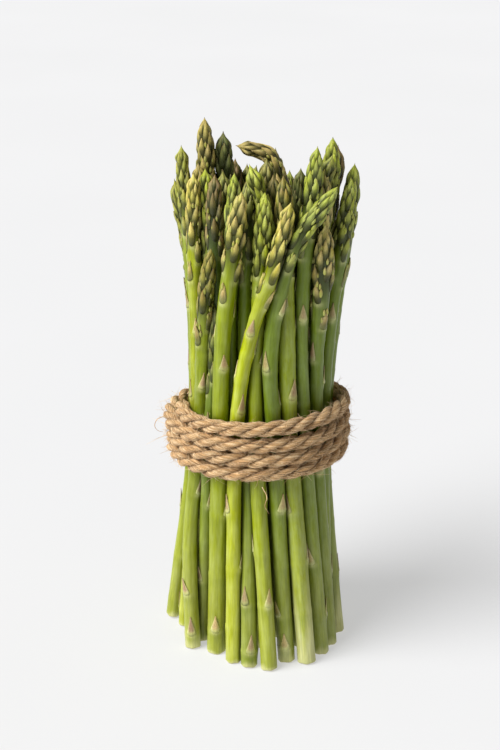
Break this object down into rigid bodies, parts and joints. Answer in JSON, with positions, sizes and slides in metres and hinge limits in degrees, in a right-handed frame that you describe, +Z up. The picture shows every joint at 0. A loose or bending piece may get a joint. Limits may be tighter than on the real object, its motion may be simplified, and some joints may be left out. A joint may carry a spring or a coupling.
{
  "type": "bundle of asparagus",
  "caption": "Upright bundle of thin green asparagus spears standing on their cut ends, tied round the middle with several turns of three-strand jute rope.",
  "frame": {"origin": "middle of the bundle's footprint, on the floor that the cut ends stand on", "axes": "+Z up along the spears, -Y towards the front, where the rope's turns lie furthest apart, +X to the right"},
  "size_m": [0.0858, 0.0854, 0.2395],
  "materials": {
    "spear_green": "satin",
    "jute_rope": "matte"
  },
  "bodies": {
    "root": {"spear_01": "spear_green", "spear_02": "spear_green", "spear_03": "spear_green", "spear_04": "spear_green", "spear_05": "spear_green", "spear_06": "spear_green", "spear_07": "spear_green", "spear_08": "spear_green", "spear_09": "spear_green", "spear_10": "spear_green", "spear_11": "spear_green", "spear_12": "spear_green", "spear_13": "spear_green", "spear_14": "spear_green", "spear_15": "spear_green", "spear_16": "spear_green", "spear_17": "spear_green", "spear_18": "spear_green", "spear_19": "spear_green", "spear_20": "spear_green", "spear_21": "spear_green", "spear_22": "spear_green", "spear_23": "spear_green", "spear_24": "spear_green", "spear_25": "spear_green", "spear_26": "spear_green", "spear_27": "spear_green", "spear_28": "spear_green", "spear_29": "spear_green", "spear_30": "spear_green", "spear_31": "spear_green", "spear_32": "spear_green", "spear_33": "spear_green", "spear_34": "spear_green", "spear_35": "spear_green", "spear_36": "spear_green", "spear_37": "spear_green", "spear_38": "spear_green", "spear_39": "spear_green", "spear_40": "spear_green", "spear_41": "spear_green", "spear_42": "spear_green", "spear_43": "spear_green", "spear_44": "spear_green", "spear_45": "spear_green", "spear_46": "spear_green", "spear_47": "spear_green", "spear_48": "spear_green", "spear_49": "spear_green", "spear_50": "spear_green", "spear_51": "spear_green", "spear_52": "spear_green", "spear_53": "spear_green", "spear_54": "spear_green", "spear_55": "spear_green", "spear_56": "spear_green", "spear_57": "spear_green", "rope": "jute_rope"}
  },
  "joints": []
}
